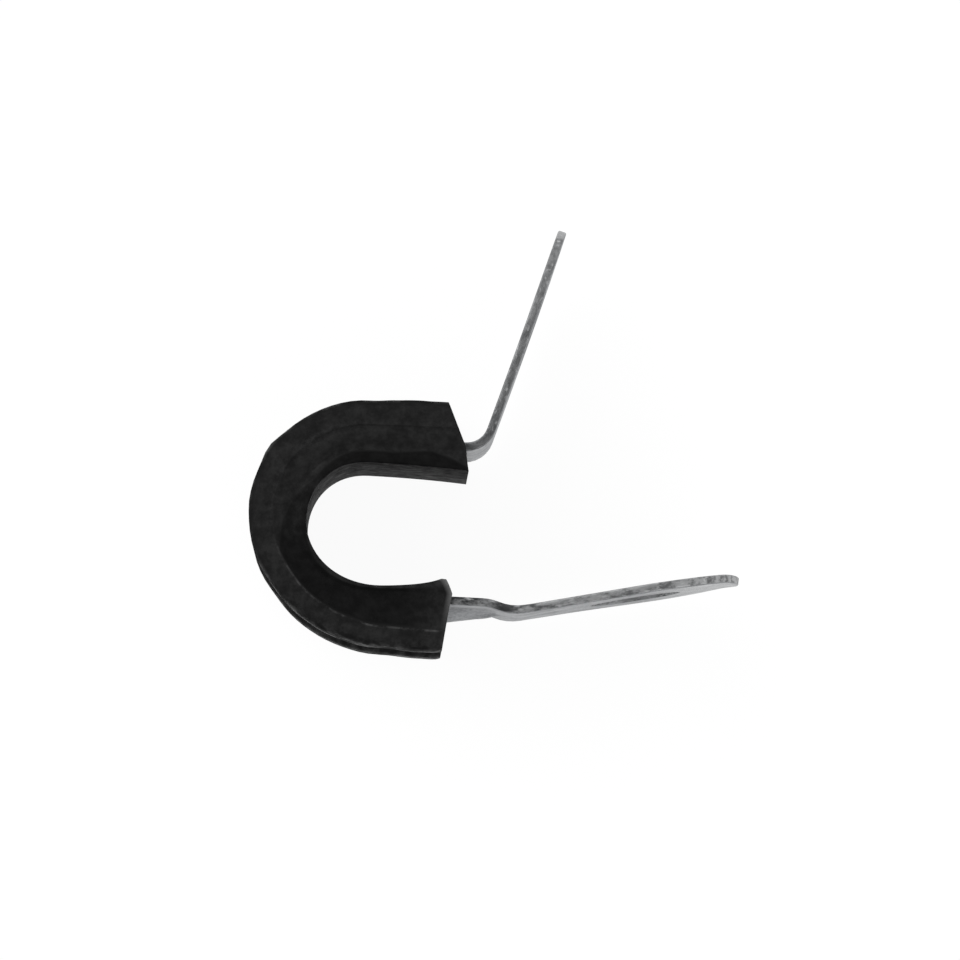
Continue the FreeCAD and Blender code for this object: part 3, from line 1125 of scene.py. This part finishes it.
@dataclass
class Cushion:
    """The black rubber cushion, extruded with a slot for the strap and bent round with it.

    A depth is measured outwards from the bore face, and a run along it from the upper arm's end.
    Each table pairs a depth or a run with the value there, and is read in straight lines between.
    """

    lines: ClampLines
    half: float = 9.25
    depth: float = 4.18
    base: float = 1.1
    play: float = 0.04
    strap_half: float = 7.5
    strap_thickness: float = 0.6
    channel_half: float = 4.5
    wall: float = 1.0
    shoulder: float = 2.95
    shoulder_steps: int = 6
    upper_past: float = 0.25
    lower_past: float = 0.3
    spacing: float = 0.35
    end_cuts: int = 2
    side_margin: float = 0.5
    smooth_angle: float = 40.0
    # The side's outline: depth, how far inside the full half-width, and the corner's radius.
    side: tuple[tuple[float, float, float], ...] = (
        (0.0, 0.22, 0.16), (0.5, 0.1, 0.12), (1.1, 0.5, 0.3), (2.0, 0.36, 0.4), (2.5, 0.0, 0.1),
        (2.8, 0.09, 0.12))
    lip_inset: float = 0.04
    lip_radius: float = 0.8
    channel_radius: float = 0.1
    # The ripple that curing and bending leave, and its waves along a side and the outside, each
    # read from its own row of the noise. A side swells by a hair more than its ripple.
    ripple: float = 0.05
    side_waves: float = 0.6
    side_row: float = 4.0
    side_swell: float = 0.01
    outer_waves: float = 0.7
    outer_row: float = 9.0
    # How deep the ridge lies, where the edge of the waist's painted shade lies, and how dark that
    # painted shade is, by run.
    ridge_depth: float = 2.5
    ridge: Table = ((0.0, 2.5), (16.0, 2.5), (18.5, 2.75), (21.0, 3.1), (29.0, 3.15))
    waist: Table = (
        (0.0, 0.15), (1.0, 0.5), (2.5, 0.9), (5.0, 0.7), (8.5, 0.7), (11.0, 0.4), (13.0, 1.4),
        (15.0, 2.45), (29.0, 2.45))
    darkness: Table = (
        (0.0, 0.9), (8.0, 0.9), (10.5, 0.5), (13.5, 0.5), (15.5, 0.85), (23.0, 0.85),
        (25.5, 0.15), (29.0, 0.1))
    # How far the waist is filled out on the upper arm, by depth, and where that fades.
    filled: Table = ((0.9, 0.0), (1.4, 0.3), (2.0, 0.29), (2.5, -0.06), (2.8, 0.0))
    filled_fade: tuple[float, float] = (2.0, 8.0)
    # How far each arm's cut end lies past the arm's own end, by depth.
    upper_cut: Table = ((0.0, 0.07), (1.4, -0.25), (4.3, -1.65))
    lower_cut: Table = (
        (0.0, -0.8), (0.16, -0.45), (0.5, -0.25), (1.0, 0.04), (2.4, -0.2), (4.4, -0.52))
    # The bore face: thinner past the middle of the bend, fuller at its start, flared at each end.
    thinning: float = 0.29
    thinning_spread: tuple[float, float] = (1.0, 3.4)
    fullness: float = 0.16
    fullness_spread: float = 2.6
    upper_flare: tuple[float, float] = (0.24, 2.2)
    lower_flare: tuple[float, float] = (0.66, 1.8)
    lower_lip: tuple[float, float] = (0.46, 6.0)
    # The outside: fuller along both arms, uneven as bent by hand, kinked once, rounded at its ends.
    arm_fullness: float = 0.27
    uneven: Table = (
        (0.0, -0.06), (2.0, 0.03), (4.5, 0.13), (8.0, 0.04), (10.5, 0.04), (13.0, 0.1),
        (16.0, -0.1), (19.0, 0.0), (21.5, 0.14), (24.0, 0.13), (26.5, -0.02), (29.0, -0.16))
    kink: tuple[float, float, float] = (0.2, 11.0, 0.5)
    end_round: tuple[float, float] = (0.3, 0.45)

    @property
    def slot(self) -> tuple[float, float]:
        """Work out the slot's two faces.

        Returns:
            The depth of each.
        """
        reach = self.strap_thickness / 2 + self.play
        middle = self.base + self.strap_thickness / 2
        return middle - reach, middle + reach

    def section(self) -> list[tuple[Vector, float]]:
        """Lay out the section at the upper end.

        Returns:
            The place of each corner in metres and its radius in millimetres.
        """
        low, high = self.slot
        side = self.strap_half + self.play
        centre = (low + high) / 2 + self.wall
        mouth = math.asin(min((self.depth - centre) / self.shoulder, 1.0))
        turns = [mouth * k / self.shoulder_steps for k in range(self.shoulder_steps, 0, -1)]
        rounded = [(centre + self.shoulder * math.sin(turn),
                    self.channel_half + self.shoulder * (1 - math.cos(turn)), 0.0)
                   for turn in turns]
        outline = [
            *((depth, self.half - inset, radius) for depth, inset, radius in self.side),
            (self.depth, self.half - self.lip_inset, self.lip_radius), *rounded,
            (centre, self.channel_half, 0.0), (high, self.channel_half, self.channel_radius),
            (high, side, 0.0), (low, side, 0.0)]
        both = outline + [(n, -z, r) for n, z, r in reversed(outline)]
        end = self.lines.upper_arm + self.upper_past
        return [(Vector((end, self.lines.seat + n, z)) * MM, r) for n, z, r in both]

    def build(self) -> bpy.types.Object:
        """Draw the section, carry it along the bore, close its ends and shape it.

        Returns:
            The cushion, which has no material yet.
        """
        line = self.lines.bore(self.upper_past, self.lower_past)
        piece = trace("rubber_cushion_body", self.section())
        pick(piece, lambda p: True)
        bpy.ops.mesh.select_mode(type="EDGE")
        sweep(line, self.spacing)
        for end in (line.place(0.0, 0.0), line.place(line.length, 0.0)):
            pick(piece, lambda p: abs(p.x / MM - end.x) < TOUCH and p.y * end.y > 0)
            bpy.ops.mesh.select_mode(type="EDGE")
            bpy.ops.mesh.edge_face_add()
            bpy.ops.mesh.quads_convert_to_tris()
            bpy.ops.mesh.subdivide(number_cuts=self.end_cuts)
        clean(piece)
        self.shape(piece, line)
        take(piece)
        bpy.ops.object.shade_smooth_by_angle(angle=math.radians(self.smooth_angle))
        return piece

    def shape(self, piece: bpy.types.Object, line: Line) -> None:
        """Move the plain sweep's vertices to the bent rubber's shape, and note where each was.

        Args:
            piece: The sweep.
            line: The bore face that it was swept along.
        """
        for name in (DRAWN, WAIST):
            piece.data.attributes.new(name, "FLOAT_VECTOR", "POINT")
        drawn, waist = (piece.data.attributes[name].data for name in (DRAWN, WAIST))
        band = self.lines.band()
        low, high = self.slot
        middle = (low + high) / 2
        for vertex, note, edge in zip(piece.data.vertices, drawn, waist):
            spot = vertex.co / MM
            along, depth = line.locate(spot.to_2d())
            note.vector = Vector((along, depth, spot.z)) * MM
            edge.vector = (between(along, self.waist) * MM, between(along, self.darkness), 0.0)
            width = self.widen(line, along, depth, spot.z)
            if abs(spot.z) > self.strap_half + self.side_margin:
                depth = between(depth, (
                    (0.0, 0.0), (self.base, self.base),
                    (self.ridge_depth, between(along, self.ridge)), (self.depth, self.depth)))
            along = self.cut(line, along, depth)
            bore, outer = self.faces(line, along)
            face = line.place(along, bore)
            carried, _ = band.locate(line.place(along, 0.0))
            if depth < low:
                target = face.lerp(band.place(carried, low - middle), depth / low)
            elif depth <= high:
                target = band.place(carried, depth - middle)
            else:
                share = (depth - high) / (self.depth - high)
                target = band.place(carried, high - middle).lerp(line.place(along, outer), share)
            vertex.co = (target.to_3d() + UP * width) * MM

    def widen(self, line: Line, along: float, depth: float, width: float) -> float:
        """Fill out the waist along the upper arm, where the real one is narrow, and ripple a side.

        The change is outwards, whatever its sign.

        Args:
            line: The bore face.
            along: The run to the vertex.
            depth: The depth below the bore face.
            width: How far from the middle of the cushion the vertex is, with its sign.

        Returns:
            The new width.
        """
        if abs(width) < self.strap_half + self.side_margin:
            return width
        bend = line.legs[1].begun
        upper = 1 - ease(along, bend + self.filled_fade[0], bend + self.filled_fade[1])
        row = math.copysign(self.side_row, width)
        ripple = noise.noise(Vector((along * self.side_waves, depth, row))) * self.ripple
        change = between(depth, self.filled) * upper + min(ripple, 0.0) - self.side_swell
        return width + math.copysign(abs(change), width)

    def cut(self, line: Line, along: float, depth: float) -> float:
        """Slide a vertex along its arm, so that the arm ends where its slanted cut is.

        Args:
            line: The bore face.
            along: The run to the vertex.
            depth: The depth below the bore face.

        Returns:
            The new run.
        """
        arm = line.legs[0].length
        if along < arm:
            return arm - (arm - along) * (arm + between(depth, self.upper_cut)) / arm
        arm, start = line.legs[-1].length, line.legs[-1].begun
        if along > start:
            return start + (along - start) * (arm + between(depth, self.lower_cut)) / arm
        return along

    def faces(self, line: Line, along: float) -> tuple[float, float]:
        """Find the two faces of the bent rubber at a place along the line.

        Args:
            line: The bore face.
            along: The run to the place.

        Returns:
            The depth of the bore face and the depth of the outside.
        """
        upper, lower = line.legs[0].length, line.legs[-1].length
        into_upper = max(1 - along / upper, 0.0)
        into_lower = max((along - line.length + lower) / lower, 0.0)
        heel = line.legs[1].begun + line.legs[1].length
        past, spread = self.thinning_spread
        bore = self.thinning * math.exp(-((along - heel - past) / spread) ** 2)
        bore -= self.fullness * math.exp(-(max(along - upper, 0.0) / self.fullness_spread) ** 2)
        for into, (height, power) in ((into_upper, self.upper_flare),
                                      (into_lower, self.lower_flare),
                                      (into_lower, self.lower_lip)):
            bore -= height * into ** power
        outer = self.depth + self.arm_fullness * (into_upper + into_lower)
        outer += self.ripple * noise.noise(Vector((along * self.outer_waves, self.outer_row, 0.0)))
        height, middle, spread = self.kink
        outer += between(along, self.uneven) + height * math.exp(-((along - middle) / spread) ** 2)
        height, spread = self.end_round
        for away in (along, line.length - along):
            outer -= height * math.exp(-(away / spread) ** 2)
        return bore, outer


# The studio


@dataclass(frozen=True)
class Lamp:
    """One square soft lamp that faces the clamp, in metres and watts."""

    name: str
    place: tuple[float, float, float]
    size: float
    power: float

    def hang(self) -> None:
        """Put the lamp in the scene."""
        data = bpy.data.lights.new(self.name, "AREA")
        data.size, data.energy = self.size, self.power
        lamp = bpy.data.objects.new(self.name, data)
        lamp.location = self.place
        lamp.rotation_euler = (-Vector(self.place)).to_track_quat("-Z", "Y").to_euler()
        bpy.context.scene.collection.objects.link(lamp)


@dataclass
class Studio:
    """A white floor, soft light and the photograph's camera."""

    lamps: tuple[Lamp, ...] = (
        Lamp("key", (-0.45, 0.35, 0.5), 0.9, 5.0), Lamp("fill", (0.5, -0.4, 0.45), 0.8, 2.0))
    # The camera, in millimetres and degrees: the point under it, its height, and what it aims at.
    nadir: tuple[float, float] = (1.66, -33.04)
    height: float = 675.0
    aim: tuple[float, float] = (8.03, 3.49)
    roll: float = 3.02
    lens: float = 354.9
    sensor: float = 36.0
    clip: tuple[float, float] = (0.05, 20.0)
    # The floor: its glow is what the camera and the metal see, and the paper keeps the shadow.
    floor_z: float = -9.25
    floor_size: float = 6.0
    paper: str = "#e6e6e6"
    white: str = "#ffffff"
    glow: float = 1.03
    glow_share: float = 0.92
    # The surroundings: what lights the clamp, and what it mirrors from low down and from above.
    even_light: float = 0.55
    mirrored: tuple[float, float] = (1.0, 0.22)
    mirrored_heights: tuple[float, float] = (0.25, 0.9)

    def camera(self) -> None:
        """Put the camera where the photograph's was: almost straight above, leaning a little."""
        data = bpy.data.cameras.new("camera")
        data.lens, data.sensor_width = self.lens, self.sensor
        data.clip_start, data.clip_end = self.clip
        eye = Vector((*self.nadir, self.height)) * MM
        back = (eye - Vector((*self.aim, 0.0)) * MM).normalized()
        roll = math.radians(self.roll)
        right = Vector((math.cos(roll), math.sin(roll), 0.0))
        right = (right - back * right.dot(back)).normalized()
        turned = Matrix((right, back.cross(right), back)).transposed().to_4x4()
        camera = bpy.data.objects.new("camera", data)
        camera.matrix_world = Matrix.Translation(eye) @ turned
        bpy.context.scene.collection.objects.link(camera)
        bpy.context.scene.camera = camera

    def floor(self) -> None:
        """Lay a white floor that keeps the clamp's shadow."""
        deselect()
        bpy.ops.mesh.primitive_plane_add(
            size=self.floor_size, location=(0.0, 0.0, self.floor_z * MM))
        floor = bpy.context.object
        floor.name = "studio_floor"
        made = bpy.data.materials.new("white_paper")
        made.use_nodes = True
        tree = made.node_tree
        tree.nodes.clear()
        rays = add_node(tree, "ShaderNodeLightPath").outputs
        seen = add_node(tree, "ShaderNodeMath", {
            0: rays["Is Camera Ray"], 1: rays["Is Glossy Ray"]}, operation="ADD", use_clamp=True)
        seen = add_node(tree, "ShaderNodeMath", {
            0: seen.outputs[0], 1: rays["Is Transmission Ray"]}, operation="ADD", use_clamp=True)
        paper = add_node(tree, "ShaderNodeBsdfDiffuse", {"Color": linear(self.paper)})
        glow = add_node(tree, "ShaderNodeEmission", {
            "Color": linear(self.white), "Strength": self.glow})
        share = add_node(tree, "ShaderNodeMath", {
            0: seen.outputs[0], 1: self.glow_share}, operation="MULTIPLY")
        mixed = add_node(tree, "ShaderNodeMixShader", {
            0: share.outputs[0], 1: paper.outputs[0], 2: glow.outputs[0]})
        add_node(tree, "ShaderNodeOutputMaterial", {"Surface": mixed.outputs[0]})
        floor.data.materials.append(made)

    def world(self) -> None:
        """Surround the floor with even light that is white to the camera and in reflections."""
        world = bpy.data.worlds.new("studio")
        bpy.context.scene.world = world
        world.use_nodes = True
        tree = world.node_tree
        tree.nodes.clear()
        white = linear(self.white)
        rays = add_node(tree, "ShaderNodeLightPath").outputs
        place = add_node(tree, "ShaderNodeTexCoord").outputs["Generated"]
        height = add_node(tree, "ShaderNodeSeparateXYZ", {0: place}).outputs["Z"]
        dimmed = add_node(tree, "ShaderNodeMapRange", {
            "Value": height, "From Min": self.mirrored_heights[0],
            "From Max": self.mirrored_heights[1], "To Min": self.mirrored[0],
            "To Max": self.mirrored[1]})
        mirror, light, backdrop = (
            add_node(tree, "ShaderNodeBackground", {"Color": white, "Strength": strength})
            for strength in (dimmed.outputs[0], self.even_light, 1.0))
        glossy = add_node(tree, "ShaderNodeMath", {
            0: rays["Is Glossy Ray"], 1: rays["Is Transmission Ray"]}, operation="ADD",
            use_clamp=True)
        mixed = add_node(tree, "ShaderNodeMixShader", {
            0: glossy.outputs[0], 1: light.outputs[0], 2: mirror.outputs[0]})
        shown = add_node(tree, "ShaderNodeMixShader", {
            0: rays["Is Camera Ray"], 1: mixed.outputs[0], 2: backdrop.outputs[0]})
        add_node(tree, "ShaderNodeOutputWorld", {"Surface": shown.outputs[0]})

    def build(self) -> None:
        """Set the whole studio up."""
        self.floor()
        self.world()
        for lamp in self.lamps:
            lamp.hang()
        self.camera()
        bpy.context.scene.view_settings.view_transform = "Standard"


def main() -> None:
    """Build the clamp and its studio, and log the two pieces' face counts."""
    logging.basicConfig(level=logging.INFO, format="%(name)s: %(message)s")
    lines = ClampLines()
    strap = Strap(lines, {
        StripFace.PLATE: ZincPlate(),
        StripFace.SHEARED: ShearedEdge(),
        # The holes' walls are darker: painted shade inside the holes.
        StripFace.PUNCHED: ShearedEdge(
            "punched_wall_shaded", light="#808182", dark="#363738", fleck="#b4b5b6")}).build()
    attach(strap, "root")
    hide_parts("steel_band")
    LOG.info("strap: %d faces", len(strap.data.polygons))
    model = Cushion(lines)
    cushion = model.build()
    length = lines.bore(model.upper_past, model.lower_past).length
    cushion.data.materials.append(ExtrudedRubber(length_mm=length).material())
    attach(cushion, "root")
    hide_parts("rubber_cushion")
    LOG.info("cushion: %d faces", len(cushion.data.polygons))
    Studio().build()


if __name__ == "__main__":
    main()
